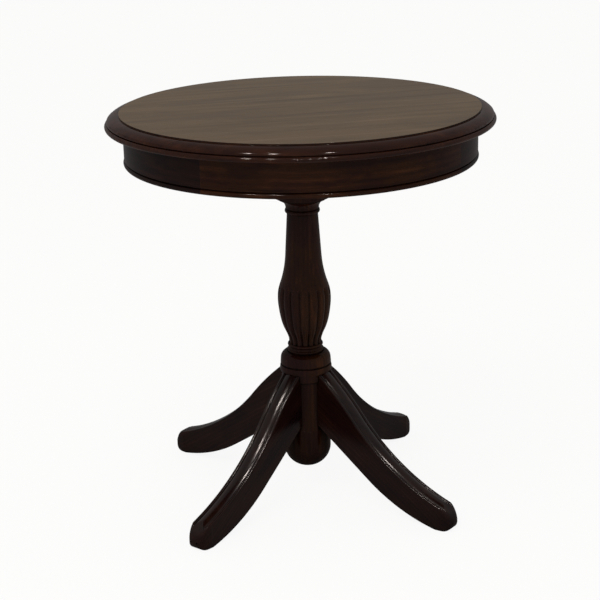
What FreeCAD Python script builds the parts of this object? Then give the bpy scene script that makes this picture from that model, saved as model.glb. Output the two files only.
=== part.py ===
# Wine table: a round moulded top with a deep apron, on a turned and reeded column with four sabre legs.
# Lengths are in millimetres and angles in degrees. +Z is up, and the origin is on the floor under the column.
import FreeCAD
import Part
import Sketcher
import math
import os
from types import SimpleNamespace

Vector = FreeCAD.Vector
doc = FreeCAD.newDocument("WineTable")

# Driving dimensions, which the sheet holds and every piece reads
SIZES = {
    # whole table
    "table_height": 599.4,
    "top_turn": 6.7,
    "cut_overrun": 5.0,
    # top and its moulded rim
    "top_diameter": 564.0,
    "top_thickness": 21.4,
    "board_count": 5,
    "rim_width": 21.0,
    "rim_quirk": 2.0,
    "rim_bead_radius": 4.0,
    "rim_groove_depth": 2.6,
    "rim_lip": 3.0,
    "rim_lip_depth": 12.0,
    "rim_nose_radius": 5.0,
    # loose tongues between the top boards
    "tongue_width": 20.0,
    "tongue_thickness": 5.0,
    "tongue_stop": 42.0,
    # apron
    "apron_setback": 25.5,
    "apron_thickness": 18.0,
    "apron_height": 53.0,
    "apron_segment_count": 4,
    "apron_bead_radius": 3.8,
    "apron_bead_stand": 1.2,
    "apron_quirk_height": 1.4,
    # blocks inside the apron
    "joint_block_width": 64.0,
    "joint_block_depth": 20.0,
    "joint_block_height": 44.0,
    "glue_block_width": 46.0,
    "glue_block_depth": 18.0,
    "glue_block_height": 18.0,
    "glue_block_offset": 22.5,
    # bearers and column block
    "bearer_width": 60.0,
    "bearer_height": 28.0,
    "bearer_housing": 8.0,
    "block_side": 124.0,
    "block_height": 25.0,
    # screws
    "screw_head_radius": 4.6,
    "screw_shank_radius": 2.3,
    "screw_cone_height": 3.4,
    "screw_point_height": 6.0,
    "screw_slot_width": 1.2,
    "screw_slot_depth": 1.3,
    "bearer_screw_length": 40.0,
    "bearer_screw_inner": 106.0,
    "bearer_screw_setback": 29.0,
    "block_screw_length": 48.0,
    "block_screw_place": 46.0,
    # column: tenon and capital, with every height on the column drawn for this top of the turning
    "turning_top": 525.0,
    "tenon_radius": 20.0,
    "tenon_end_gap": 1.0,
    "neck_radius": 33.3,
    "flange_radius": 41.4,
    "flange_top": 476.3,
    "flange_round": 5.0,
    "flange_bottom": 465.7,
    "capital_groove_radius": 35.3,
    "capital_groove_bottom": 462.2,
    "cove_top_radius": 34.3,
    "cove_bottom_radius": 24.6,
    "cove_bottom": 448.5,
    "collar_stand": 3.0,
    "collar_height": 7.0,
    # column: shaft and reeded bulb
    "shaft_top_radius": 23.1,
    "shaft_low_radius": 27.2,
    "shaft_flare_rise": 44.4,
    "shaft_flare_radius": 163.0,
    "bulb_tip_radius": 36.6,
    "bulb_radius": 39.9,
    "bulb_rise": 64.5,
    "bulb_neck_radius": 25.0,
    "bulb_neck": 247.1,
    "reed_count": 16,
    "reed_depth": 2.7,
    "reed_turn": 4.15,
    "reed_rise": 19.4,
    "reed_sink": 1.0,
    # column: rings above the legs
    "astragal_top": 239.5,
    "astragal_height": 5.2,
    "astragal_stand": 1.7,
    "fillet_radius": 27.4,
    "fillet_top": 230.0,
    "fillet_height": 2.6,
    "fillet_quirk": 1.1,
    "shoulder_start_radius": 28.2,
    "shoulder_radius": 37.9,
    "shoulder_bottom": 215.0,
    "drum_radius": 38.5,
    "drum_groove_top": 208.2,
    "drum_groove_height": 2.8,
    "drum_groove_depth": 1.6,
    "drum_bead_bottom": 193.2,
    "drum_bead_stand": 0.9,
    "drum_bottom": 185.1,
    # post, leg sockets and pendant
    "post_radius": 35.8,
    "post_bottom": 105.0,
    "socket_clearance": 0.1,
    "dovetail_depth": 14.0,
    "dovetail_neck": 14.0,
    "dovetail_root": 20.0,
    "dovetail_top": 181.0,
    "dovetail_bite": 2.0,
    "spigot_radius": 9.0,
    "spigot_length": 44.0,
    "pendant_skirt_bottom": 72.0,
    "pendant_bottom": 39.0,
    # wedge in the tenon
    "wedge_length": 34.0,
    "wedge_depth": 30.0,
    "wedge_top_thickness": 4.4,
    "wedge_tip_thickness": 1.8,
    # legs
    "leg_count": 4,
    "leg_first_angle": 45.0,
    "leg_thickness": 31.0,
    "leg_reach": 269.5,
    "leg_top": 204.0,
    "leg_inflection_radius": 96.0,
    "leg_inflection": 141.4,
    "leg_belly_radius": 125.0,
    "leg_belly": 48.8,
    "leg_underside": 116.2,
    "leg_root_radius": 31.0,
    "nose_radius": 13.0,
    "nose_slope": 70.4,
    "toe_radius": 37.5,
    "toe_slope": 18.5,
    "sole_trim": 0.3,
    "leg_bead_radius": 2.8,
    "leg_bead_drop": 2.4,
    "leg_crown_drop": 4.2,
    "leg_moulding_runout": 40.0,
}

sheet = doc.addObject("Spreadsheet::Sheet", "Sizes")
for row, (alias, number) in enumerate(SIZES.items(), start=1):
    sheet.set(f"A{row}", alias.replace("_", " "))
    sheet.set(f"B{row}", str(number))
    sheet.setAlias(f"B{row}", alias)
doc.recompute()


class Size:
    """A length, angle or count: its number, and the expression that gives it from the sheet."""

    def __init__(self, number, text):
        self.number = number
        self.text = text

    def join(self, sign, other, number):
        return Size(number, f"({self.text} {sign} {other.text})")

    def __add__(self, other):
        other = as_size(other)
        return self.join("+", other, self.number + other.number)

    def __sub__(self, other):
        other = as_size(other)
        return self.join("-", other, self.number - other.number)

    def __mul__(self, other):
        other = as_size(other)
        return self.join("*", other, self.number * other.number)

    def __truediv__(self, other):
        other = as_size(other)
        return self.join("/", other, self.number / other.number)

    def __neg__(self):
        return ZERO - self


def as_size(value):
    return value if isinstance(value, Size) else Size(value, str(value))


def sine(angle):
    return Size(math.sin(math.radians(angle.number)), f"sin({angle.text})")


def cosine(angle):
    return Size(math.cos(math.radians(angle.number)), f"cos({angle.text})")


def root(square):
    return Size(math.sqrt(square.number), f"sqrt({square.text})")


ZERO = Size(0.0, "0")
FULL_TURN = Size(360.0, "360")
size = SimpleNamespace(**{alias: Size(float(sheet.get(alias)), f"Sizes.{alias}") for alias in SIZES})

# Places that several pieces share
top_radius = size.top_diameter / 2
under_top = size.table_height - size.top_thickness
apron_bottom = under_top - size.apron_height
apron_radius = top_radius - size.apron_setback
apron_inner = apron_radius - size.apron_thickness
bearer_bottom = under_top - size.bearer_height
block_bottom = bearer_bottom - size.block_height
board_width = size.top_diameter / size.board_count
tongue_low = under_top + (size.top_thickness - size.tongue_thickness) / 2
tenon_top = under_top - size.tenon_end_gap
half_leg = size.leg_thickness / 2

# Heights on the column, drawn for one table and stretched from the drum up to meet the block of another
bulb_height = size.bulb_neck + size.bulb_rise
reed_tip = bulb_height + size.reed_rise
drawn = {"bulb_height": bulb_height, "reed_tip": reed_tip, "shaft_low": reed_tip + size.shaft_flare_rise}
for name in ("drum_bead_bottom", "drum_groove_top", "shoulder_bottom", "fillet_top", "astragal_top",
             "bulb_neck", "cove_bottom", "capital_groove_bottom", "flange_bottom", "flange_top"):
    drawn[name] = getattr(size, name)
stretch = (block_bottom - size.drum_bottom) / (size.turning_top - size.drum_bottom)


def stretched(height):
    return size.drum_bottom + (height - size.drum_bottom) * stretch


turned = SimpleNamespace(**{name: stretched(height) for name, height in drawn.items()})


def bind(thing, **properties):
    for name, value in properties.items():
        thing.setExpression(name, value.text)


def place(thing, x=ZERO, y=ZERO, z=ZERO):
    for axis, value in zip("xyz", (x, y, z)):
        thing.setExpression(f".Placement.Base.{axis}", value.text)


def turn(thing, angle):
    thing.Placement = FreeCAD.Placement(thing.Placement.Base, FreeCAD.Rotation(Vector(0, 0, 1), angle.number))


def origin_of(body, role):
    return next(datum for datum in body.Origin.OriginFeatures if datum.Role == role)


def new_body(name):
    return doc.addObject("PartDesign::Body", name)


class Outline:
    """A run of lines and arcs in a sketch, with every corner held by the sheet."""

    def __init__(self, body, name, role, lift=None):
        self.sketch = body.newObject("Sketcher::SketchObject", name)
        self.sketch.AttachmentSupport = [(origin_of(body, role), "")]
        self.sketch.MapMode = "FlatFace"
        if lift is not None:
            self.sketch.setExpression(".AttachmentOffset.Base.z", lift.text)

    def hold(self, kind, piece, end, value):
        axis = {"DistanceX": -2, "DistanceY": -1}[kind]
        if value is ZERO:
            self.sketch.addConstraint(Sketcher.Constraint("PointOnObject", piece, end, axis))
            return
        index = self.sketch.addConstraint(Sketcher.Constraint(kind, -1, 1, piece, end, value.number))
        self.sketch.setExpression(f"Constraints[{index}]", value.text)

    def hold_point(self, piece, end, point):
        self.hold("DistanceX", piece, end, point[0])
        self.hold("DistanceY", piece, end, point[1])

    def start(self, x, y):
        self.first_point = self.point = (x, y)
        self.first_end = self.last_end = None
        return self

    def add(self, geometry, ends, target, tangent=False):
        piece = self.sketch.addGeometry(geometry)
        begin, finish = ends
        if self.last_end is None:
            self.first_end = (piece, begin)
            self.hold_point(piece, begin, self.point)
        else:
            kind = "Tangent" if tangent else "Coincident"
            self.sketch.addConstraint(Sketcher.Constraint(kind, *self.last_end, piece, begin))
        if target is self.first_point:
            self.sketch.addConstraint(Sketcher.Constraint("Coincident", piece, finish, *self.first_end))
        else:
            self.hold_point(piece, finish, target)
        self.last_end = (piece, finish)
        self.point = target
        return piece

    def line_to(self, target):
        a = Vector(self.point[0].number, self.point[1].number)
        b = Vector(target[0].number, target[1].number)
        self.heading = (b - a).normalize()
        self.add(Part.LineSegment(a, b), (1, 2), target)

    def line(self, x, y):
        self.line_to((x, y))
        return self

    def close(self):
        self.line_to(self.first_point)
        return self.sketch

    def arc(self, x, y, rule):
        """An arc whose centre is level or plumb with its start or end, or which runs on from the last piece."""
        target = (x, y)
        a = Vector(self.point[0].number, self.point[1].number)
        b = Vector(x.number, y.number)
        centre = arc_centre(a, b, rule, getattr(self, "heading", None))
        left = (a - centre).cross(b - centre).z > 0
        piece = self.add_arc(a, b, centre, left, target, rule == "tangent")
        if rule != "tangent":
            way, end = rule.split("_")
            kind = "Horizontal" if way == "level" else "Vertical"
            near = self.ends[0] if end == "start" else self.ends[1]
            self.sketch.addConstraint(Sketcher.Constraint(kind, piece, 3, piece, near))
        return self

    def bow_to(self, target, radius, left):
        """An arc of a given radius, turning left or right."""
        a = Vector(self.point[0].number, self.point[1].number)
        b = Vector(target[0].number, target[1].number)
        half = (b - a) / 2
        rise = math.sqrt(radius.number ** 2 - half.dot(half))
        side = Vector(-half.y, half.x).normalize() * (rise if left else -rise)
        piece = self.add_arc(a, b, a + half + side, left, target)
        index = self.sketch.addConstraint(Sketcher.Constraint("Radius", piece, radius.number))
        self.sketch.setExpression(f"Constraints[{index}]", radius.text)
        return self

    def bow(self, x, y, radius):
        return self.bow_to((x, y), radius, True)

    def add_arc(self, a, b, centre, left, target, tangent=False):
        angles = [math.atan2(*(point - centre)[1::-1]) for point in (a, b)]
        low, high = angles if left else angles[::-1]
        curve = Part.ArcOfCircle(Part.Circle(centre, Vector(0, 0, 1), (a - centre).Length), low, high)
        spoke = (b - centre).normalize()
        self.heading = Vector(-spoke.y, spoke.x) if left else Vector(spoke.y, -spoke.x)
        self.ends = (1, 2) if left else (2, 1)
        return self.add(curve, self.ends, target, tangent)


def arc_centre(a, b, rule, heading):
    chord = b - a
    if rule == "tangent":
        normal = Vector(-heading.y, heading.x)
        return a + normal * (chord.dot(chord) / (2 * chord.dot(normal)))
    way, end = rule.split("_")
    near, far = (a, b) if end == "start" else (b, a)
    reach = far - near
    if way == "level":
        return near + Vector(reach.dot(reach) / (2 * reach.x), 0)
    return near + Vector(0, reach.dot(reach) / (2 * reach.y))


def circle_sketch(body, name, lift, centre, radius):
    outline = Outline(body, name, "XY_Plane", lift)
    middle = Vector(centre[0].number, centre[1].number)
    piece = outline.sketch.addGeometry(Part.Circle(middle, Vector(0, 0, 1), radius.number))
    outline.hold_point(piece, 3, centre)
    index = outline.sketch.addConstraint(Sketcher.Constraint("Radius", piece, radius.number))
    outline.sketch.setExpression(f"Constraints[{index}]", radius.text)
    return outline.sketch


def feature(body, kind, name, sketch, **lengths):
    made = body.newObject(f"PartDesign::{kind}", name)
    made.Profile = sketch
    bind(made, **lengths)
    return made


def revolve(body, name, sketch, angle=FULL_TURN, kind="Revolution"):
    made = feature(body, kind, name, sketch, Angle=angle)
    made.ReferenceAxis = (sketch, ["V_Axis"])
    return made


def repeat_round(body, name, original, count):
    pattern = body.newObject("PartDesign::PolarPattern", name)
    pattern.Originals = [original]
    pattern.Axis = (origin_of(body, "Z_Axis"), [""])
    bind(pattern, Angle=FULL_TURN, Occurrences=count)
    body.Tip = pattern
    return pattern


def box(name, length, width, height):
    made = doc.addObject("Part::Box", name)
    bind(made, Length=length, Width=width, Height=height)
    return made


def cylinder(name, radius, height, z):
    made = doc.addObject("Part::Cylinder", name)
    bind(made, Radius=radius, Height=height)
    place(made, z=z)
    return made


def combine(kind, name, base, tool):
    made = doc.addObject(f"Part::{kind}", name)
    made.Base = base
    made.Tool = tool
    return made


def group(name, shapes):
    made = doc.addObject("Part::Feature", name)
    made.Shape = Part.makeCompound(shapes)
    return made


pieces = {}


def keep(label, thing, angle=ZERO):
    thing.Label = label
    if angle is not ZERO:
        turn(thing, angle)
    pieces[label] = thing


# Screws: a slotted countersunk screw with its head's flat face at the origin, and the plain hole it fills
def screw(name, length, slotted):
    body = new_body(name)
    outline = Outline(body, name + "Outline", "XZ_Plane").start(ZERO, ZERO)
    outline.line(size.screw_head_radius, ZERO)
    outline.line(size.screw_shank_radius, size.screw_cone_height)
    outline.line(size.screw_shank_radius, length - size.screw_point_height)
    outline.line(ZERO, length)
    revolve(body, name + "Turned", outline.close())
    if slotted:
        half = size.screw_slot_width / 2
        reach = size.screw_head_radius + size.cut_overrun
        slot = Outline(body, name + "SlotOutline", "XY_Plane").start(-reach, -half)
        slot.line(reach, -half).line(reach, half).line(-reach, half)
        cut = feature(body, "Pocket", name + "Slot", slot.close(), Length=size.screw_slot_depth)
        cut.Reversed = True
    doc.recompute()
    return body.Shape


def screws_at(shape, places, z):
    return [shape.translated(Vector(x.number, y.number, z.number)) for x, y in places]


def crosswise(away):
    return [(away, ZERO), (-away, ZERO), (ZERO, away), (ZERO, -away)]


bearer_places = crosswise(size.bearer_screw_inner) + crosswise(apron_inner - size.bearer_screw_setback)
block_places = crosswise(size.block_screw_place)
bearer_screw = screw("BearerScrew", size.bearer_screw_length, True)
bearer_hole = screw("BearerHole", size.bearer_screw_length, False)
block_screw = screw("BlockScrew", size.block_screw_length, True)
block_hole = screw("BlockHole", size.block_screw_length, False)
bearer_holes = group("BearerHoles", screws_at(bearer_hole, bearer_places, bearer_bottom))
block_holes = group("BlockHoles", screws_at(block_hole, block_places, block_bottom))
bearer_set = group("BearerScrews", screws_at(bearer_screw, bearer_places, bearer_bottom))
keep("bearer_screws", bearer_set, size.top_turn)
block_set = group("BlockScrews", screws_at(block_screw, block_places, block_bottom))
keep("block_screws", block_set, size.top_turn)


# Top: one turned blank with the moulded rim, sawn into boards that loose tongues join
def top_blank():
    body = new_body("TopBlank")
    bead_middle = top_radius - size.rim_bead_radius
    lip_radius = top_radius - size.rim_lip
    lip_height = size.table_height - size.rim_lip_depth
    groove_radius = lip_radius - size.rim_groove_depth
    bead_top = under_top + size.rim_bead_radius * 2
    flat_radius = top_radius - size.rim_width
    brow_height = size.table_height - size.rim_quirk
    # the ovolo's tight outer arc runs on into a flatter one, which comes level at the quirk
    nose = size.rim_nose_radius
    lean_share = (brow_height - lip_height - nose) / (lip_radius - flat_radius - nose)
    square_share = lean_share * lean_share
    meet_radius = lip_radius - nose + nose * lean_share * 2 / (square_share + 1)
    meet_height = lip_height + nose * (-square_share + 1) / (square_share + 1)
    outline = Outline(body, "TopOutline", "XZ_Plane").start(ZERO, under_top)
    outline.line(bead_middle, under_top)
    outline.arc(top_radius, under_top + size.rim_bead_radius, "plumb_start")
    outline.arc(bead_middle, bead_top, "level_start")
    outline.line(groove_radius, bead_top)
    outline.line(groove_radius, lip_height)
    outline.line(lip_radius, lip_height)
    outline.arc(meet_radius, meet_height, "level_start")
    outline.arc(flat_radius, brow_height, "tangent")
    outline.line(flat_radius, size.table_height)
    outline.line(ZERO, size.table_height)
    revolve(body, "TopTurned", outline.close())
    return body


blank = top_blank()
board_count = int(size.board_count.number)
tongues = []
for joint in range(1, board_count):
    across = board_width * joint - top_radius
    half_length = root(top_radius * top_radius - across * across) - size.tongue_stop
    tongue = box(f"Tongue{joint}", half_length * 2, size.tongue_width, size.tongue_thickness)
    place(tongue, -half_length, across - size.tongue_width / 2, tongue_low)
    tongues.append(tongue)
for number in range(1, board_count + 1):
    strip = box(f"Strip{number}", size.top_diameter + size.cut_overrun * 2, board_width, size.top_thickness)
    place(strip, -top_radius - size.cut_overrun, board_width * (number - 1) - top_radius, under_top)
    board = combine("Common", f"Sawn{number}", blank, strip)
    for joint in (number - 1, number):
        if 0 < joint < board_count:
            board = combine("Cut", f"Board{number}Groove{joint}", board, tongues[joint - 1])
    board = combine("Cut", f"Board{number}", board, bearer_holes)
    keep(f"top_board_{number}", board, size.top_turn)
for joint, tongue in enumerate(tongues, start=1):
    seated = combine("Common", f"SeatedTongue{joint}", tongue, blank)
    keep(f"top_tongue_{joint}", seated, size.top_turn)


# Bearers: half lapped where they cross, with ends let into the apron
bearer_length = (apron_inner + size.bearer_housing) * 2
half_bearer = size.bearer_width / 2
tenon_hole = cylinder("TenonHole", size.tenon_radius, tenon_top - block_bottom + size.cut_overrun, block_bottom)


def bearer(name, length, width, lap_bottom):
    beam = box(name + "Beam", length, width, size.bearer_height)
    place(beam, -length / 2, -width / 2, bearer_bottom)
    lap = box(name + "Lap", size.bearer_width, size.bearer_width, size.bearer_height / 2)
    place(lap, -half_bearer, -half_bearer, lap_bottom)
    lapped = combine("Cut", name + "Lapped", beam, lap)
    bored = combine("Cut", name + "Bored", lapped, tenon_hole)
    screwed = combine("Cut", name + "Screwed", bored, bearer_holes)
    return combine("Cut", name, screwed, block_holes), beam


lap_middle = bearer_bottom + size.bearer_height / 2
lower_bearer, lower_beam = bearer("LowerBearer", bearer_length, size.bearer_width, lap_middle)
upper_bearer, upper_beam = bearer("UpperBearer", size.bearer_width, bearer_length, bearer_bottom)
beams = combine("Fuse", "Beams", lower_beam, upper_beam)
keep("bearer_lower", lower_bearer, size.top_turn)
keep("bearer_upper", upper_bearer, size.top_turn)

# Column block under the crossing, bored for the tenon
block_cube = box("BlockCube", size.block_side, size.block_side, size.block_height)
place(block_cube, -size.block_side / 2, -size.block_side / 2, block_bottom)
block_bored = combine("Cut", "BlockBored", block_cube, tenon_hole)
keep("column_block", combine("Cut", "ColumnBlock", block_bored, block_holes), size.top_turn)

# Apron: curved segments with a bead at the lower edge, each housing the end of a bearer
segment_angle = FULL_TURN / size.apron_segment_count
segment_count = int(size.apron_segment_count.number)


def apron_segment(name):
    body = new_body(name)
    bead_root = apron_radius + size.apron_bead_stand - size.apron_bead_radius
    bead_middle = apron_bottom + size.apron_bead_radius
    bead_top = bead_middle + size.apron_bead_radius
    quirk_top = bead_top + size.apron_quirk_height
    outline = Outline(body, name + "Outline", "XZ_Plane").start(apron_inner, apron_bottom)
    outline.line(bead_root, apron_bottom)
    outline.arc(bead_root + size.apron_bead_radius, bead_middle, "plumb_start")
    outline.arc(bead_root, bead_top, "level_start")
    outline.line(bead_root, quirk_top)
    outline.line(apron_radius, quirk_top)
    outline.line(apron_radius, under_top)
    outline.line(apron_inner, under_top)
    revolve(body, name + "Turned", outline.close(), segment_angle)
    doc.recompute()
    return body


for number in range(1, segment_count + 1):
    segment = apron_segment(f"Segment{number}")
    turn(segment, segment_angle * (number - 1) - segment_angle / 2)
    housed = combine("Cut", f"Apron{number}", segment, beams)
    keep(f"apron_segment_{number}", housed, size.top_turn)

# Blocks glued inside the apron: one behind each joint, and small ones between apron and top
bore = cylinder("ApronBore", apron_inner, size.apron_height, apron_bottom)


def apron_block(name, width, depth, height):
    blank_block = box(name + "Blank", depth, width, height)
    place(blank_block, apron_inner - depth, -width / 2, under_top - height)
    return combine("Common", name, blank_block, bore)


block_number = 0
for number in range(1, segment_count + 1):
    joint_angle = size.top_turn + segment_angle * (number - 1) + segment_angle / 2
    backing = apron_block(
        f"JointBlock{number}", size.joint_block_width, size.joint_block_depth, size.joint_block_height)
    keep(f"apron_joint_block_{number}", backing, joint_angle)
    for side in (-1, 1):
        block_number += 1
        small = apron_block(
            f"GlueBlock{block_number}", size.glue_block_width, size.glue_block_depth, size.glue_block_height)
        keep(f"glue_block_{block_number}", small, joint_angle + size.glue_block_offset * side)


# Column: turned in one piece from tenon to post, with carved reeds on the bulb
def column():
    body = new_body("Column")
    outline = Outline(body, "ColumnOutline", "XZ_Plane").start(ZERO, size.post_bottom)
    outline.line(size.post_radius, size.post_bottom)
    # post, drum and rings, going up
    outline.line(size.post_radius, size.drum_bottom)
    outline.line(size.drum_radius, size.drum_bottom)
    outline.line(size.drum_radius, turned.drum_bead_bottom)
    groove_bottom = turned.drum_groove_top - size.drum_groove_height
    groove_radius = size.drum_radius - size.drum_groove_depth
    bead_middle = (turned.drum_bead_bottom + groove_bottom) / 2
    outline.arc(size.drum_radius + size.drum_bead_stand, bead_middle, "level_end")
    outline.arc(size.drum_radius, groove_bottom, "level_start")
    outline.line(groove_radius, groove_bottom)
    outline.line(groove_radius, turned.drum_groove_top)
    outline.line(size.drum_radius, turned.drum_groove_top)
    outline.line(size.shoulder_radius, turned.shoulder_bottom)
    fillet_bottom = turned.fillet_top - size.fillet_height
    quirk_bottom = fillet_bottom - size.fillet_quirk
    outline.arc(size.shoulder_start_radius, quirk_bottom, "level_start")
    outline.line(size.fillet_radius - size.fillet_quirk, quirk_bottom)
    outline.line(size.fillet_radius - size.fillet_quirk, fillet_bottom)
    outline.line(size.fillet_radius, fillet_bottom)
    outline.line(size.fillet_radius, turned.fillet_top)
    core_radius = size.bulb_neck_radius - size.reed_depth - size.reed_sink
    astragal_bottom = turned.astragal_top - size.astragal_height
    astragal_middle = (turned.astragal_top + astragal_bottom) / 2
    outline.arc(size.bulb_neck_radius, astragal_bottom, "level_end")
    outline.arc(size.bulb_neck_radius + size.astragal_stand, astragal_middle, "level_end")
    outline.arc(size.bulb_neck_radius, turned.astragal_top, "level_start")
    # core of the reeded bulb, and the shaft that flares into the bulb's tips
    outline.line(core_radius, turned.astragal_top)
    outline.line(core_radius, turned.reed_tip)
    outline.line(size.bulb_tip_radius, turned.reed_tip)
    outline.bow_to((size.shaft_low_radius, turned.shaft_low), size.shaft_flare_radius, False)
    collar_bottom = turned.cove_bottom - size.collar_height
    collar_middle = turned.cove_bottom - size.collar_height / 2
    outline.line(size.shaft_top_radius, collar_bottom)
    # collar, cove, flange and neck of the capital
    outline.arc(size.shaft_top_radius + size.collar_stand, collar_middle, "level_end")
    outline.arc(size.cove_bottom_radius, turned.cove_bottom, "level_start")
    outline.arc(size.cove_top_radius, turned.capital_groove_bottom, "level_start")
    outline.line(size.capital_groove_radius, turned.capital_groove_bottom)
    outline.line(size.capital_groove_radius, turned.flange_bottom)
    outline.line(size.flange_radius, turned.flange_bottom)
    outline.line(size.flange_radius, turned.flange_top - size.flange_round)
    outline.arc(size.flange_radius - size.flange_round, turned.flange_top, "level_start")
    outline.line(size.neck_radius, turned.flange_top)
    outline.line(size.neck_radius, block_bottom)
    outline.line(size.tenon_radius, block_bottom)
    outline.line(size.tenon_radius, tenon_top)
    outline.line(ZERO, tenon_top)
    revolve(body, "ColumnTurned", outline.close())
    carve_reeds(body)
    cut_column_joints(body)
    return body


# Heights of the reeded outlines, as shares of the bulb below its widest place, and above it as shares
# of the way to the reeds' tips, each with the share of the full depth that the reeds have there
REED_SWELL_SHARES = (0.25, 0.6, 1.0)
REED_TIP_SHARES = ((0.5, 1.0), (0.82, 0.75))


def spin(x, y, angle):
    return x * cosine(angle) - y * sine(angle), x * sine(angle) + y * cosine(angle)


def carve_reeds(body):
    """The bulb is a loft of lobed outlines; each lobe is an arc from valley to valley over the reed's crest."""
    count = int(size.reed_count.number)
    pitch = FULL_TURN / size.reed_count

    def lobed(name, height, crest, depth):
        valley = crest - depth
        middle = (crest * crest - valley * valley) / ((crest - valley * cosine(pitch / 2)) * 2)
        outline = Outline(body, name, "XY_Plane", height)
        outline.start(*spin(valley, ZERO, size.reed_turn))
        for number in range(1, count):
            outline.bow(*spin(valley, ZERO, size.reed_turn + pitch * number), crest - middle)
        outline.bow_to(outline.first_point, crest - middle, True)
        return outline.sketch

    def crest_at(rise, swell, span):
        bow = (swell * swell + span * span) / (swell * 2)
        return size.bulb_radius - bow + root(bow * bow - rise * rise)

    foot = turned.astragal_top - size.reed_sink
    sections = [lobed("ReedFoot", foot, size.bulb_neck_radius, size.reed_depth)]
    sections.append(lobed("ReedNeck", turned.bulb_neck, size.bulb_neck_radius, size.reed_depth))
    span = turned.bulb_height - turned.bulb_neck
    swell = size.bulb_radius - size.bulb_neck_radius
    for number, share in enumerate(REED_SWELL_SHARES, start=1):
        crest = crest_at(span * (1 - share), swell, span)
        sections.append(lobed(f"ReedSwell{number}", turned.bulb_neck + span * share, crest, size.reed_depth))
    rise = turned.reed_tip - turned.bulb_height
    fall = size.bulb_radius - size.bulb_tip_radius
    for number, (share, depth_share) in enumerate(REED_TIP_SHARES, start=1):
        crest = crest_at(rise * share, fall, rise)
        height = turned.bulb_height + rise * share
        sections.append(lobed(f"ReedTop{number}", height, crest, size.reed_depth * depth_share))
    sections.append(lobed("ReedTip", turned.reed_tip, size.bulb_tip_radius, ZERO))
    bulb = feature(body, "AdditiveLoft", "ReededBulb", sections[0])
    bulb.Sections = sections[1:]


def dovetail(clearance, outer):
    """Plan of a leg's tongue, wider inside the post than at its surface; clearance makes it the socket."""
    inner = size.post_radius - size.dovetail_depth - clearance
    half_root = size.dovetail_root / 2 + clearance
    half_neck = size.dovetail_neck / 2 + clearance
    corners = [(inner, -half_root), (size.post_radius, -half_neck), (outer, -half_neck)]
    corners += [(x, -y) for x, y in reversed(corners)]
    return corners


def plan_sketch(body, name, lift, corners):
    outline = Outline(body, name, "XY_Plane", lift).start(*corners[0])
    for x, y in corners[1:]:
        outline.line(x, y)
    return outline.close()


def wedge_sketch(body, name):
    """Side view of the wedge, which is also the kerf that it spreads."""
    half_top = size.wedge_top_thickness / 2
    half_tip = size.wedge_tip_thickness / 2
    tip = tenon_top - size.wedge_depth
    outline = Outline(body, name, "XZ_Plane").start(-half_tip, tip)
    outline.line(half_tip, tip).line(half_top, tenon_top).line(-half_top, tenon_top)
    return outline.close()


def cut_column_joints(body):
    outer = size.post_radius + size.cut_overrun
    corners = dovetail(size.socket_clearance, outer)
    turned_corners = [spin(x, y, size.leg_first_angle) for x, y in corners]
    plan = plan_sketch(body, "SocketPlan", size.post_bottom, turned_corners)
    depth = size.dovetail_top - size.post_bottom + size.socket_clearance
    socket = feature(body, "Pocket", "Socket", plan, Length=depth)
    socket.Reversed = True
    repeat_round(body, "Sockets", socket, size.leg_count)
    bore_radius = size.spigot_radius + size.socket_clearance
    bore_plan = circle_sketch(body, "SpigotBorePlan", size.post_bottom, (ZERO, ZERO), bore_radius)
    spigot_bore = feature(
        body, "Pocket", "SpigotBore", bore_plan, Length=size.spigot_length + size.socket_clearance)
    spigot_bore.Reversed = True
    kerf_length = (size.tenon_radius + size.cut_overrun) * 2
    kerf = feature(body, "Pocket", "Kerf", wedge_sketch(body, "KerfOutline"), Length=kerf_length)
    kerf.SideType = "Symmetric"


turned_column = column()
keep("column", turned_column)


# Wedge driven into the tenon, and the pendant whose spigot closes the lower end of the post
def tenon_wedge():
    body = new_body("Wedge")
    pad = feature(body, "Pad", "WedgeSolid", wedge_sketch(body, "WedgeOutline"), Length=size.wedge_length)
    pad.SideType = "Symmetric"
    return body


def pendant():
    body = new_body("Pendant")
    spigot_top = size.post_bottom + size.spigot_length
    outline = Outline(body, "PendantOutline", "XZ_Plane").start(ZERO, size.pendant_bottom)
    outline.arc(size.post_radius, size.pendant_skirt_bottom, "level_end")
    outline.line(size.post_radius, size.post_bottom)
    outline.line(size.spigot_radius, size.post_bottom)
    outline.line(size.spigot_radius, spigot_top)
    outline.line(ZERO, spigot_top)
    revolve(body, "PendantTurned", outline.close())
    return body


keep("tenon_wedge", tenon_wedge())
keep("pendant", pendant())


# Legs: sawn to a double curve, moulded along the top edge, scribed to the post and dovetailed into it
nose_middle = size.leg_reach - size.nose_radius
nose_end = (nose_middle + size.nose_radius * sine(size.nose_slope),
            size.nose_radius + size.nose_radius * cosine(size.nose_slope))
toe_centre = (nose_end[0] - size.toe_radius * sine(size.nose_slope),
              nose_end[1] - size.toe_radius * cosine(size.nose_slope))
toe_start = (toe_centre[0] + size.toe_radius * sine(size.toe_slope),
             toe_centre[1] + size.toe_radius * cosine(size.toe_slope))

# The toe's sections, from its tip to its root: angles round the nose for all but the last, then shares of the
# leg's width for the section and of the section's half width for its rounded corners
TOE_ANGLES = [as_size(angle) for angle in (8.0, 25.0, 45.0, 66.0, 90.0)]
TOE_WIDTH_SHARES = (0.28, 0.53, 0.75, 0.88, 0.95, 1.0)
TOE_TOP_SHARES = (0.75, 0.8, 0.75, 0.55, 0.35, 0.05)
TOE_SOLE_SHARES = (0.75, 0.6, 0.4, 0.25, 0.15, 0.05)


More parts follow.
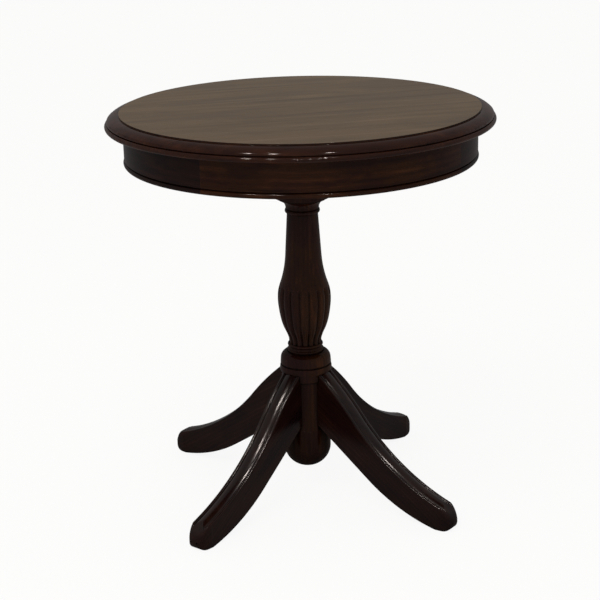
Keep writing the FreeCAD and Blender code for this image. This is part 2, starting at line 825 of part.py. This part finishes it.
def leg(name):
    body = new_body(name)
    outline = Outline(body, name + "Side", "XZ_Plane").start(size.leg_root_radius, size.leg_underside)
    outline.line(size.leg_belly_radius, size.leg_belly)
    outline.arc(toe_start[0], ZERO, "tangent")
    outline.line(nose_middle, ZERO)
    outline.arc(*nose_end, "plumb_start")
    outline.arc(*toe_start, "tangent")
    outline.arc(size.leg_inflection_radius, size.leg_inflection, "tangent")
    outline.arc(size.leg_root_radius, size.leg_top, "tangent")
    sawn = feature(body, "Pad", name + "Sawn", outline.close(), Length=size.leg_thickness)
    sawn.SideType = "Symmetric"
    round_toe(body, name)
    mould_leg(body, name)
    scribe_leg(body, name)
    corners = dovetail(ZERO, size.post_radius + size.dovetail_bite)
    plan = plan_sketch(body, name + "TonguePlan", size.post_bottom, corners)
    feature(body, "Pad", name + "Tongue", plan, Length=size.dovetail_top - size.post_bottom)
    return body


def round_toe(body, name):
    """Carves the toe to a slipper: its sections narrow, and round off at the corners, towards the tip."""
    beyond = size.leg_reach + size.cut_overrun
    side = half_leg + size.cut_overrun
    back = toe_start[0]
    waste = Outline(body, name + "ToeWaste", "XY_Plane").start(back, -side)
    waste.line(beyond, -side).line(beyond, side).line(back, side)
    cut = feature(body, "Pocket", name + "ToeCut", waste.close())
    cut.Type = "ThroughAll"
    cut.Reversed = True
    profile = [nose_section(angle) for angle in TOE_ANGLES] + [(back, ZERO, toe_start[1])]
    shapes = zip(profile, TOE_WIDTH_SHARES, TOE_TOP_SHARES, TOE_SOLE_SHARES)
    sections = [toe_section(body, f"{name}Toe{number}", *shape) for number, shape in enumerate(shapes, start=1)]
    toe = feature(body, "AdditiveLoft", name + "Toe", sections[0])
    toe.Sections = sections[1:]
    sole = Outline(body, name + "SoleWaste", "XY_Plane").start(back - side, -side)
    sole.line(beyond, -side).line(beyond, side).line(back - side, side)
    trimmed = feature(body, "Pocket", name + "Sole", sole.close())
    trimmed.Type = "ThroughAll"


def nose_section(angle):
    """Where a section stands on the toe's side view, and the heights of its sole and top there."""
    x = nose_middle + size.nose_radius * cosine(angle)
    sole = size.nose_radius - size.nose_radius * sine(angle)
    if x.number > nose_end[0].number:
        return x, sole, size.nose_radius + size.nose_radius * sine(angle)
    ahead = x - toe_centre[0]
    return x, sole, toe_centre[1] + root(size.toe_radius * size.toe_radius - ahead * ahead)


def toe_section(body, name, profile, width_share, top_share, sole_share):
    x, sole, top = profile
    bottom = sole - size.sole_trim
    side = half_leg * width_share
    low = side * sole_share
    high = side * top_share
    outline = Outline(body, name, "YZ_Plane", x).start(low - side, bottom)
    outline.line(side - low, bottom)
    outline.bow(side, bottom + low, low)
    outline.line(side, top - high)
    outline.bow(side - high, top, high)
    outline.line(high - side, top)
    outline.bow(-side, top - high, high)
    outline.line(-side, bottom + low)
    outline.bow_to(outline.first_point, low, True)
    return outline.sketch


def mould_leg(body, name):
    """Works a crowned middle between two beads along the top edge, running out at the toe."""
    run_x = toe_start[0] + size.leg_moulding_runout * cosine(size.toe_slope)
    run_z = toe_start[1] - size.leg_moulding_runout * sine(size.toe_slope)
    path = Outline(body, name + "MouldingPath", "XZ_Plane").start(run_x, run_z)
    path.line(*toe_start)
    path.arc(size.leg_inflection_radius, size.leg_inflection, "tangent")
    path.arc(size.leg_root_radius, size.leg_top, "tangent")
    bead = size.leg_bead_radius
    quirk = size.leg_top - size.leg_bead_drop - bead
    crown = size.leg_top - size.leg_crown_drop
    above = size.leg_top + size.cut_overrun
    side = half_leg + size.cut_overrun
    inside = half_leg - bead * 2
    outline = Outline(body, name + "Moulding", "YZ_Plane", size.leg_root_radius).start(-side, quirk)
    outline.line(-half_leg, quirk)
    outline.arc(bead - half_leg, quirk + bead, "level_start")
    outline.arc(-inside, quirk, "level_end")
    outline.line(-inside, crown)
    outline.arc(ZERO, size.leg_top, "plumb_end")
    outline.arc(inside, crown, "plumb_start")
    outline.line(inside, quirk)
    outline.arc(half_leg - bead, quirk + bead, "level_start")
    outline.arc(half_leg, quirk, "level_end")
    outline.line(side, quirk).line(side, above).line(-side, above)
    cut = feature(body, "SubtractivePipe", name + "Moulded", outline.close())
    cut.Spine = path.sketch
    cut.Mode = "Binormal"
    cut.Binormal = Vector(0, 1, 0)


def scribe_leg(body, name):
    """Hollows the inner end to lie against the post and the drum above it."""
    drum = size.drum_radius + size.drum_bead_stand
    above = size.leg_top + size.cut_overrun
    outline = Outline(body, name + "Scribe", "XZ_Plane").start(ZERO, -size.cut_overrun)
    outline.line(size.post_radius, -size.cut_overrun)
    outline.line(size.post_radius, size.drum_bottom)
    outline.line(drum, size.drum_bottom)
    outline.line(drum, above)
    outline.line(ZERO, above)
    revolve(body, name + "Scribed", outline.close(), kind="Groove")


for number in range(1, int(size.leg_count.number) + 1):
    leg_angle = size.leg_first_angle + FULL_TURN / size.leg_count * (number - 1)
    keep(f"leg_{number}", leg(f"Leg{number}"), leg_angle)

# Every object has to be sound, every cut has to take something away and every loft has to add to its piece,
# before anything is written
doc.recompute()
CUTS = ("PartDesign::Pocket", "PartDesign::Groove", "PartDesign::SubtractivePipe")
for thing in doc.Objects:
    if "Invalid" in thing.State or "Error" in thing.State:
        raise RuntimeError(f"{thing.Name} failed: {thing.State}")
    if thing.TypeId in CUTS and thing.Shape.Volume >= thing.BaseFeature.Shape.Volume:
        raise RuntimeError(f"{thing.Name} cuts nothing")
    if thing.TypeId == "PartDesign::AdditiveLoft" and thing.Shape.Volume <= thing.BaseFeature.Shape.Volume:
        raise RuntimeError(f"{thing.Name} adds nothing")
for label, thing in pieces.items():
    if thing.Shape.isNull() or not thing.Shape.isValid():
        raise RuntimeError(f"{label} has no valid shape")

os.makedirs("parts", exist_ok=True)
for label, thing in pieces.items():
    thing.Shape.exportStep(f"parts/{label}.step")
    print(label, len(thing.Shape.Solids), round(thing.Shape.Volume))
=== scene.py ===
import bpy
import math
from mathutils import Matrix, Vector


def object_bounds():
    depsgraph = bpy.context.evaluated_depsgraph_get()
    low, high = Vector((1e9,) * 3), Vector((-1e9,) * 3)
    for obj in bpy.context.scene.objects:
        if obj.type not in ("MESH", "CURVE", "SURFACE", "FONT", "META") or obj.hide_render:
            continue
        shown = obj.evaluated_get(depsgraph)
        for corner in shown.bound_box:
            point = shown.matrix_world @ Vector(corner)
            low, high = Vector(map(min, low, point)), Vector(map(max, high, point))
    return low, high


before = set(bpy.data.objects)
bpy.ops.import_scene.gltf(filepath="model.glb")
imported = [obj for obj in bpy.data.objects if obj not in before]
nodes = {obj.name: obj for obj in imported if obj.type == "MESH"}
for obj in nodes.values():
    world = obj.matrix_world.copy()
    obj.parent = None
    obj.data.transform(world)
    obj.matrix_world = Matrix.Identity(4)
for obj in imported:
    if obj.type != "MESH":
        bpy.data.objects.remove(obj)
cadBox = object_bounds()
print("frame loaded:", len(nodes), "nodes")

scene = bpy.context.scene
scene.view_settings.view_transform = "Standard"


# small helpers for building node trees
def plug(tree, socket, value):
    if isinstance(value, bpy.types.NodeSocket):
        tree.links.new(value, socket)
    else:
        socket.default_value = value


def addNode(tree, kind, settings=None, **sockets):
    made = tree.nodes.new("ShaderNode" + kind)
    for name, value in (settings or {}).items():
        setattr(made, name, value)
    for name, value in sockets.items():
        plug(tree, made.inputs[name.replace("_", " ")], value)
    return made


def reckon(tree, operation, *values):
    made = tree.nodes.new("ShaderNodeMath")
    made.operation = operation
    for socket, value in zip(made.inputs, values):
        plug(tree, socket, value)
    return made.outputs[0]


def spread(tree, value, low, high, newLow, newHigh):  # clamped change of range
    made = addNode(tree, "MapRange", From_Min=low, From_Max=high, To_Min=newLow, To_Max=newHigh)
    plug(tree, made.inputs["Value"], value)
    return made.outputs["Result"]


def stir(tree, how, share, first, second):  # mixes two colours
    made = tree.nodes.new("ShaderNodeMix")
    made.data_type = "RGBA"
    made.blend_type = how
    plug(tree, made.inputs[0], share)
    plug(tree, made.inputs[6], first)
    plug(tree, made.inputs[7], second)
    return made.outputs[2]


def shades(tree, value, stops):  # colour ramp from (place, colour) pairs
    made = tree.nodes.new("ShaderNodeValToRGB")
    made.color_ramp.interpolation = "EASE"
    while len(made.color_ramp.elements) < len(stops):
        made.color_ramp.elements.new(0.5)
    for element, (place, colour) in zip(made.color_ramp.elements, stops):
        element.position = place
        element.color = (*colour, 1)
    plug(tree, made.inputs[0], value)
    return made.outputs["Color"]


def darken(tree, colour, share):  # the same share of all three channels
    grey = addNode(tree, "CombineColor", Red=share, Green=share, Blue=share).outputs[0]
    return stir(tree, "MULTIPLY", 1.0, colour, grey)


def cloud(tree, vector, scale, detail=3.0, roughness=0.55, distortion=0.0):
    stretch = addNode(tree, "Mapping", Vector=vector, Scale=scale)
    noise = addNode(tree, "TexNoise", Vector=stretch.outputs[0], Scale=1.0, Detail=detail,
                    Roughness=roughness, Distortion=distortion)
    return noise.outputs[0]


def seenDirectly(tree):  # 1 for what the camera, a mirror or glass looks at
    rays = addNode(tree, "LightPath").outputs
    return reckon(tree, "MAXIMUM", rays["Is Camera Ray"],
                  reckon(tree, "MAXIMUM", rays["Is Glossy Ray"], rays["Is Transmission Ray"]))


def startMaterial(name):
    material = bpy.data.materials.new(name)
    material.use_nodes = True
    tree = material.node_tree
    tree.nodes.clear()
    return material, tree


def fromAxis(tree):  # distance from the table's upright axis
    place = addNode(tree, "TexCoord").outputs["Object"]
    levelled = addNode(tree, "VectorMath", {"operation": "MULTIPLY"})
    plug(tree, levelled.inputs[0], place)
    plug(tree, levelled.inputs[1], (1, 1, 0))
    length = addNode(tree, "VectorMath", {"operation": "LENGTH"})
    plug(tree, length.inputs[0], levelled.outputs[0])
    return length.outputs["Value"]


# where the grain runs: x along it, y across it, z into the piece, all in metres
def grainOf(tree, lie):
    place = addNode(tree, "TexCoord").outputs["Object"]
    turned = addNode(tree, "Mapping", Vector=place, Rotation=(0, 0, -math.radians(lie["turn"])))
    if lie["way"] == "round":  # bent round the column's axis, as a segment sawn to a curve
        parts = addNode(tree, "SeparateXYZ", Vector=turned.outputs[0])
        x, y, z = parts.outputs
        angle = reckon(tree, "ARCTAN2", y, x)
        reach = reckon(tree, "SQRT", reckon(tree, "ADD", reckon(tree, "MULTIPLY", x, x),
                                            reckon(tree, "MULTIPLY", y, y)))
        along = reckon(tree, "MULTIPLY", angle, lie["radius"])
        laid = addNode(tree, "CombineXYZ", X=along, Y=z, Z=reach).outputs[0]
    else:
        tipped = addNode(tree, "Mapping", Vector=turned.outputs[0], Rotation=(0, math.radians(lie["tip"]), 0))
        laid = tipped.outputs[0]
    return addNode(tree, "Mapping", Vector=laid, Location=lie["start"]).outputs[0]


# polished hardwood: growth rings, streaks and pores under a rubbed polish that has worn at the edges, with
# painted shade in the hollows and in places covered by other parts
def polishedWood(name, look):
    material, tree = startMaterial(name)
    grain = grainOf(tree, look["lie"])
    tilted = addNode(tree, "Mapping", Vector=grain, Location=look["pith"], Rotation=look["drift"],
                     Scale=(0.07, 1, 1))
    rings = addNode(tree, "TexWave", {"wave_type": "RINGS", "rings_direction": "X", "wave_profile": "SIN"},
                    Vector=tilted.outputs[0], Scale=0.314 / look["ringWidth"], Distortion=look["waver"],
                    Detail=3.0, Detail_Scale=0.35, Detail_Roughness=0.6).outputs["Fac"]
    streaks = cloud(tree, grain, look["streaks"], 5.0, 0.62, 0.6)
    pores = cloud(tree, grain, (28, 1100, 1100), 2.0, 0.5)
    patches = cloud(tree, grain, look["patchScale"], 4.0, 0.55, 0.9)
    tone = reckon(tree, "ADD", reckon(tree, "MULTIPLY", rings, look["ringShare"]),
                  reckon(tree, "MULTIPLY", streaks, 1 - look["ringShare"]))
    colour = shades(tree, tone, look["shades"])
    flat = addNode(tree, "NewGeometry").outputs["Normal"]
    facing = addNode(tree, "SeparateXYZ", Vector=flat).outputs["Z"]
    polish = look["polish"]
    if "crestPolish" in look:  # upper edges that a cloth reaches have been rubbed brighter
        polish = spread(tree, facing, 0.35, 0.65, look["polish"], look["crestPolish"])
    if "paintedSheen" in look:  # painted sheen: the level face inside the moulded rim is coloured paler, standing in for the polish's reflection
        level = spread(tree, facing, 0.985, 0.999, 0.0, 1.0)
        inside = spread(tree, fromAxis(tree), look["flatRadius"], look["flatRadius"] + 0.0004, 1.0, 0.0)
        face = reckon(tree, "MULTIPLY", level, inside)
        colour = stir(tree, "MIX", face, colour, shades(tree, tone, look["paintedSheen"]))
        polish = spread(tree, face, 0.0, 1.0, look["rimPolish"], look["polish"])
    colour = stir(tree, "MULTIPLY", 1.0, colour, shades(tree, patches, look["patches"]))
    poreMask = spread(tree, pores, 0.30, 0.46, look["poreDark"], 1.0)
    colour = darken(tree, colour, poreMask)
    # painted shade, with some old polish and dust, darkens the quirks and hollows, and the edges have worn
    # paler
    hollow = addNode(tree, "AmbientOcclusion", {"samples": 4}, Distance=0.007).outputs["AO"]
    shadeAndDust = spread(tree, hollow, *look["hollow"], look["shadeAndDust"], 0.0)
    colour = stir(tree, "MIX", shadeAndDust, colour, look["shadeAndDustColour"])
    shelter = addNode(tree, "AmbientOcclusion", {"samples": 4}, Distance=0.11).outputs["AO"]
    # painted shade: places that other parts cover are darkened, and their polish is thinner
    shelterShadeAndGloss = spread(tree, shelter, *look["shelter"], look["shelteredShade"], 1.0)
    colour = darken(tree, colour, shelterShadeAndGloss)
    soft = addNode(tree, "Bevel", {"samples": 6}, Radius=look["edgeRadius"]).outputs[0]
    meet = addNode(tree, "VectorMath", {"operation": "DOT_PRODUCT"})
    plug(tree, meet.inputs[0], soft)
    plug(tree, meet.inputs[1], flat)
    edge = spread(tree, meet.outputs["Value"], 0.995, 0.90, 0.0, 1.0)
    scuffs = spread(tree, cloud(tree, grain, (60, 90, 90), 3.0), 0.42, 0.66, 0.0, look["wear"])
    colour = stir(tree, "MIX", reckon(tree, "MULTIPLY", edge, scuffs), colour, look["wornColour"])
    # film of polish: a little uneven, with faint smears where it was rubbed
    smears = cloud(tree, grain, (14, 40, 40), 4.0, 0.6, 0.6)
    rough = spread(tree, smears, 0.3, 0.7, look["sheen"][0], look["sheen"][1])
    woodBump = addNode(tree, "Bump", Strength=0.25, Distance=0.0002, Height=pores, Normal=soft)
    swell = cloud(tree, grain, (18, 46, 46), 2.0, 0.45)
    filmBump = addNode(tree, "Bump", Strength=look["ripple"], Distance=0.001, Height=swell, Normal=soft)
    shader = addNode(tree, "BsdfPrincipled", Base_Color=colour, Roughness=rough, IOR=1.5,
                     Specular_IOR_Level=0.0, Coat_Weight=reckon(tree, "MULTIPLY", polish, shelterShadeAndGloss),
                     Coat_Roughness=look["polishBlur"], Coat_IOR=1.5,
                     Normal=woodBump.outputs[0], Coat_Normal=filmBump.outputs[0])
    addNode(tree, "OutputMaterial", Surface=shader.outputs[0])
    return material


# bare wood on the inside: planed, dry and a little dirty
def bareWood(name, look):
    material, tree = startMaterial(name)
    grain = grainOf(tree, look["lie"])
    tilted = addNode(tree, "Mapping", Vector=grain, Location=look["pith"], Rotation=(0, 0.02, 0.03),
                     Scale=(0.06, 1, 1))
    rings = addNode(tree, "TexWave", {"wave_type": "RINGS", "rings_direction": "X", "wave_profile": "SAW"},
                    Vector=tilted.outputs[0], Scale=0.314 / look["ringWidth"], Distortion=2.5,
                    Detail=2.0, Detail_Scale=0.4).outputs["Fac"]
    fibres = cloud(tree, grain, (22, 700, 700), 3.0, 0.6)
    tone = reckon(tree, "ADD", reckon(tree, "MULTIPLY", rings, 0.6), reckon(tree, "MULTIPLY", fibres, 0.4))
    colour = shades(tree, tone, look["shades"])
    stain = spread(tree, cloud(tree, grain, (7, 11, 11), 4.0, 0.6), 0.45, 0.7, 0.0, 0.45)
    colour = stir(tree, "MIX", stain, colour, look["stainColour"])
    rough = spread(tree, fibres, 0.3, 0.7, 0.62, 0.82)
    bump = addNode(tree, "Bump", Strength=0.5, Distance=0.0003, Height=fibres)
    shader = addNode(tree, "BsdfPrincipled", Base_Color=colour, Roughness=rough, IOR=1.45,
                     Specular_IOR_Level=0.25, Normal=bump.outputs[0])
    addNode(tree, "OutputMaterial", Surface=shader.outputs[0])
    return material


def screwSteel(name, look):
    material, tree = startMaterial(name)
    place = addNode(tree, "TexCoord").outputs["Object"]
    blotch = cloud(tree, place, (420, 420, 420), 4.0, 0.6)
    colour = shades(tree, blotch, look["shades"])
    rough = spread(tree, blotch, 0.3, 0.7, 0.32, 0.6)
    bump = addNode(tree, "Bump", Strength=0.3, Distance=0.0001, Height=blotch)
    shader = addNode(tree, "BsdfPrincipled", Base_Color=colour, Roughness=rough, Metallic=1.0,
                     Normal=bump.outputs[0])
    addNode(tree, "OutputMaterial", Surface=shader.outputs[0])
    return material


def dress(node, material):
    mesh = nodes[node].data
    mesh.materials.clear()
    mesh.materials.append(material)


def straight(turn, tip=0.0, start=(0, 0, 0)):
    return {"way": "straight", "turn": turn, "tip": tip, "start": start}


def bent(turn, radius, start=(0, 0, 0)):
    return {"way": "round", "turn": turn, "radius": radius, "start": start}


# what all the show wood has in common
showWood = {
    "ringWidth": 0.006, "ringShare": 0.16, "waver": 9.0, "drift": (0, 0.03, 0.05), "pith": (0, 0.09, 0.06),
    "streaks": (5, 70, 70), "patchScale": (7, 16, 16),
    "shades": [
        (0.25, (0.0075, 0.0022, 0.0012)),
        (0.5, (0.015, 0.0042, 0.0019)),
        (0.75, (0.026, 0.0078, 0.0034)),
    ],
    "patches": [(0.3, (0.7, 0.6, 0.85)), (0.7, (1.28, 1.26, 1.0))],
    # painted shade, with some old dust, darkens the hollows
    "poreDark": 0.62, "shadeAndDust": 0.55, "hollow": (0.35, 0.95), "shadeAndDustColour": (0.0022, 0.0014, 0.0011, 1),
    # painted shade darkens places that other parts cover
    "shelter": (0.15, 0.75), "shelteredShade": 0.45,
    "edgeRadius": 0.0011, "wear": 0.4, "wornColour": (0.05, 0.019, 0.0105, 1),
    "sheen": (0.34, 0.52), "polish": 0.1, "polishBlur": 0.13, "ripple": 0.1,
}

boardTurn = 6.7  # degrees that the boards, bearers and apron segments are turned from the X axis

# top: boards glued side by side, their grain along the joints
topBoards = {
    "turn": boardTurn, "rimWidth": 0.0210,
    "starts": [(0.31, 0.0, 0.0), (0.0, 0.013, 0.004), (0.17, 0.0, 0.009), (0.52, 0.006, 0.002),
               (0.83, 0.0, 0.006)],
    "piths": [(0, 0.12, 0.05), (0, 0.05, 0.08), (0, 0.09, 0.035), (0, 0.02, 0.07), (0, -0.10, 0.05)],
    "shades": [
        (0.25, (0.0085, 0.0022, 0.0010)),
        (0.5, (0.0175, 0.0046, 0.0019)),
        (0.75, (0.031, 0.0092, 0.0036)),
    ],
    # paler colours painted on the level face as its sheen
    "paintedSheen": [
        (0.25, (0.066, 0.0430, 0.0235)),
        (0.5, (0.084, 0.0555, 0.0310)),
        (0.75, (0.104, 0.0710, 0.0410)),
    ],
    "patches": [(0.3, (0.9, 0.9, 0.92)), (0.7, (1.08, 1.08, 1.06))],
    # the finish includes how strongly painted shade darkens the hollows
    "finish": {"ringWidth": 0.011, "polish": 0.12, "rimPolish": 0.15, "polishBlur": 0.07, "ripple": 0.05,
               "shadeAndDust": 0.42, "poreDark": 0.82},
}
flatRadius = cadBox[1][0] - topBoards["rimWidth"]
for count, (start, pith) in enumerate(zip(topBoards["starts"], topBoards["piths"]), start=1):
    look = dict(showWood, **topBoards["finish"], lie=straight(topBoards["turn"], 0.0, start), pith=pith,
                shades=topBoards["shades"], paintedSheen=topBoards["paintedSheen"], patches=topBoards["patches"],
                flatRadius=flatRadius)
    dress(f"top_board_{count}", polishedWood(f"polished top {count}", look))
print("top dressed")

# apron: sawn segments, the front one paler and warmer than the one beside it
apronSegments = {
    "turn": boardTurn, "radius": 0.25,
    "warm": [
        (0.25, (0.0085, 0.0026, 0.0011)),
        (0.5, (0.0185, 0.0058, 0.0021)),
        (0.75, (0.034, 0.0118, 0.0046)),
    ],
    "plum": [
        (0.25, (0.0045, 0.0018, 0.0016)),
        (0.5, (0.0085, 0.0031, 0.0026)),
        (0.75, (0.0155, 0.0056, 0.0042)),
    ],
    "tones": ["plum", "warm", "plum", "warm"],
    "finish": {"pith": (0, -0.60, -0.28), "ringWidth": 0.009, "streaks": (9, 75, 75),
               "patchScale": (16, 34, 34)},
}
for count, tone in enumerate(apronSegments["tones"], start=1):
    middle = apronSegments["turn"] + 90 * (count - 1)
    look = dict(showWood, **apronSegments["finish"], shades=apronSegments[tone],
                lie=bent(middle, apronSegments["radius"], (0.7 * count, 0.0, 0.0)))
    dress(f"apron_segment_{count}", polishedWood(f"polished apron {count}", look))
print("apron dressed")

# column and pendant: turned with the grain upright
turnings = {
    "shades": [
        (0.25, (0.0075, 0.0024, 0.0012)),
        (0.5, (0.0155, 0.0047, 0.0021)),
        (0.75, (0.028, 0.0092, 0.004)),
    ],
    "patches": [(0.3, (0.72, 0.58, 1.05)), (0.7, (1.32, 1.34, 0.8))],
    # strong painted shade in the hollows makes the reeds stand out
    "patchScale": (9, 22, 22), "pith": (0, 0.03, 0.02), "ringShare": 0.1, "shadeAndDust": 0.85, "hollow": (0.5, 1.0),
    # strong painted shade in covered places, such as the post between the legs
    "shelter": (0.5, 0.95), "shelteredShade": 0.2, "polish": 0.11, "polishBlur": 0.08,
}
columnLook = dict(showWood, **turnings, lie=straight(0.0, 90.0, (0.4, 0.0, 0.0)))
dress("column", polishedWood("polished column", columnLook))
pendantLook = dict(columnLook, lie=straight(30.0, 90.0, (0.9, 0.0, 0.0)))
dress("pendant", polishedWood("polished pendant", pendantLook))
print("column dressed")

# legs: sawn from plank, the grain running down the slope
legs = {
    "firstTurn": 45, "slope": -33.0,
    "shades": [
        (0.25, (0.0046, 0.0017, 0.0014)),
        (0.5, (0.0090, 0.0032, 0.0024)),
        (0.75, (0.0165, 0.0060, 0.0038)),
    ],
    "finish": {"pith": (0, 0.05, 0.11), "polish": 0.11, "crestPolish": 0.23, "polishBlur": 0.16,
               "wear": 0.12},
}
for count in range(1, 5):
    turn = legs["firstTurn"] + 90 * (count - 1)
    look = dict(showWood, **legs["finish"], shades=legs["shades"],
                lie=straight(turn, legs["slope"], (0.37 * count, 0.0, 0.0)))
    dress(f"leg_{count}", polishedWood(f"polished leg {count}", look))
print("legs dressed")

# carcase inside the apron: bearers, blocks, tongues and the wedge, left bare
carcase = {
    "shades": [(0.1, (0.16, 0.085, 0.042)), (0.5, (0.24, 0.135, 0.068)), (0.9, (0.33, 0.20, 0.105))],
    "stainColour": (0.085, 0.045, 0.024, 1), "ringWidth": 0.004,
}
tongueWood = dict(carcase, pith=(0, 0.05, 0.02),
                  shades=[(0.1, (0.22, 0.13, 0.07)), (0.9, (0.42, 0.28, 0.16))])
bareOnes = {  # turn of the grain and place of the pith
    "bearer_lower": (boardTurn, (0, 0.04, 0.03)),
    "bearer_upper": (boardTurn + 90, (0, 0.02, 0.05)),
    "column_block": (boardTurn, (0, 0.06, 0.02)),
}
for count in range(1, 5):
    bareOnes[f"apron_joint_block_{count}"] = (boardTurn + 45 + 90 * count, (0, 0.03, 0.04))
for count in range(1, 9):
    bareOnes[f"glue_block_{count}"] = (boardTurn + 112.5 + 45 * count, (0, 0.04, 0.02))
for count, (node, (turn, pith)) in enumerate(bareOnes.items()):
    look = dict(carcase, lie=straight(turn, 0.0, (0.23 * count, 0, 0)), pith=pith)
    dress(node, bareWood("bare " + node, look))
for count in range(1, 5):
    look = dict(tongueWood, lie=straight(boardTurn, 0.0, (0.3 * count, 0, 0)))
    dress(f"top_tongue_{count}", bareWood(f"bare tongue {count}", look))
dress("tenon_wedge", bareWood("bare wedge", dict(tongueWood, lie=straight(0.0, 90.0))))
screws = {"shades": [(0.3, (0.16, 0.14, 0.12)), (0.7, (0.42, 0.40, 0.37))]}
for node in ("bearer_screws", "block_screws"):
    dress(node, screwSteel("dull " + node, screws))
print("carcase dressed")

# floor: a pale sheet that keeps the table's shadow, and that a view from below looks through
floorPlan = {"half": 30.0, "colour": (0.9, 0.9, 0.89, 1), "whiteShare": 0.9}


def makeFloor(plan):
    half = plan["half"]
    mesh = bpy.data.meshes.new("floor")
    corners = [(-half, -half, 0), (half, -half, 0), (half, half, 0), (-half, half, 0)]
    mesh.from_pydata(corners, [], [(0, 1, 2, 3)])
    floor = bpy.data.objects.new("floor", mesh)
    scene.collection.objects.link(floor)
    material, tree = startMaterial("pale floor")
    place = addNode(tree, "TexCoord").outputs["Object"]
    speck = cloud(tree, place, (3, 3, 3), 3.0)
    specks = shades(tree, speck, [(0.3, (0.9, 0.9, 0.9)), (0.7, (1, 1, 1))])
    paper = addNode(tree, "BsdfDiffuse", Color=stir(tree, "MULTIPLY", 0.06, plan["colour"], specks))
    white = addNode(tree, "Emission", Color=(1, 1, 1, 1), Strength=1.0)
    lit = addNode(tree, "MixShader", Fac=reckon(tree, "MULTIPLY", seenDirectly(tree), plan["whiteShare"]))
    tree.links.new(paper.outputs[0], lit.inputs[1])
    tree.links.new(white.outputs[0], lit.inputs[2])
    under = addNode(tree, "MixShader", Fac=addNode(tree, "NewGeometry").outputs["Backfacing"])
    tree.links.new(lit.outputs[0], under.inputs[1])
    tree.links.new(addNode(tree, "BsdfTransparent").outputs[0], under.inputs[2])
    addNode(tree, "OutputMaterial", Surface=under.outputs[0])
    mesh.materials.append(material)


makeFloor(floorPlan)
print("floor laid")

# light: an even pale room, a wide soft box in front, and small lamps that the polish picks up
room = {"colour": (1.0, 0.955, 0.89, 1), "strength": 0.72}
world = bpy.data.worlds.new("pale room")
world.use_nodes = True
worldTree = world.node_tree
worldTree.nodes.clear()
roomLight = addNode(worldTree, "Background", Color=room["colour"], Strength=room["strength"])
roomWhite = addNode(worldTree, "Background", Color=(1, 1, 1, 1), Strength=1.0)
seenRoom = addNode(worldTree, "MixShader", Fac=seenDirectly(worldTree))
worldTree.links.new(roomLight.outputs[0], seenRoom.inputs[1])
worldTree.links.new(roomWhite.outputs[0], seenRoom.inputs[2])
addNode(worldTree, "OutputWorld", Surface=seenRoom.outputs[0])
scene.world = world

camera = {  # fitted to the picture's outline
    "heading": 6.9, "away": 2.1592, "height": 1.0039,
    "down": 17.932, "aside": 0.175, "tilt": -1.38, "lens": 90.57,
}
heading = math.radians(camera["heading"])


def inRoom(x, y, z):  # x to the camera's right, y away from it, z up, from the table's axis on the floor
    return Vector((x * math.cos(heading) + y * math.sin(heading),
                   y * math.cos(heading) - x * math.sin(heading), z))


lampTarget = Vector((0, 0, 0.45))  # high on the column


def hangLamp(name, plan):
    data = bpy.data.lights.new(name, "AREA")
    data.shape = "ELLIPSE"
    data.size, data.size_y = plan["size"]
    data.energy = plan["power"]
    data.color = plan["colour"]
    lamp = bpy.data.objects.new(name, data)
    scene.collection.objects.link(lamp)
    lamp.location = inRoom(*plan["place"])
    lamp.rotation_euler = (lampTarget - lamp.location).to_track_quat("-Z", "Y").to_euler()
    lamp.visible_glossy = plan["mirrored"]
    lamp.visible_diffuse = not plan["mirrored"]
    lamp.visible_camera = False


smallLamp = {"size": (0.16, 0.16), "power": 30.0, "colour": (1, 0.88, 0.82), "mirrored": True}
lamps = {  # the small ones are seen in the polish only
    "soft box": {"place": (-0.7, -1.5, 2.7), "size": (2.4, 1.8), "power": 30.0, "colour": (1, 0.97, 0.93),
                 "mirrored": False},
    "lamp left": dict(smallLamp, place=(-0.97, -1.2, 2.49)),
    "lamp middle": dict(smallLamp, place=(-0.53, -1.37, 2.56)),
    "lamp right": dict(smallLamp, place=(0.52, -1.37, 2.56)),
}
for name, plan in lamps.items():
    hangLamp(name, plan)
print("lights hung:", len(lamps))

cameraData = bpy.data.cameras.new("camera")
cameraData.sensor_width = 36.0
cameraData.lens = camera["lens"]
cameraData.clip_start, cameraData.clip_end = 0.05, 100.0
cameraObject = bpy.data.objects.new("camera", cameraData)
scene.collection.objects.link(cameraObject)
standpoint = inRoom(0, -camera["away"], camera["height"])
cameraObject.matrix_world = (
    Matrix.Translation(standpoint)
    @ Matrix.Rotation(math.radians(camera["aside"]) - heading, 4, "Z")
    @ Matrix.Rotation(math.radians(90 - camera["down"]), 4, "X")
    @ Matrix.Rotation(math.radians(camera["tilt"]), 4, "Z")
)
scene.camera = cameraObject
print("camera set")
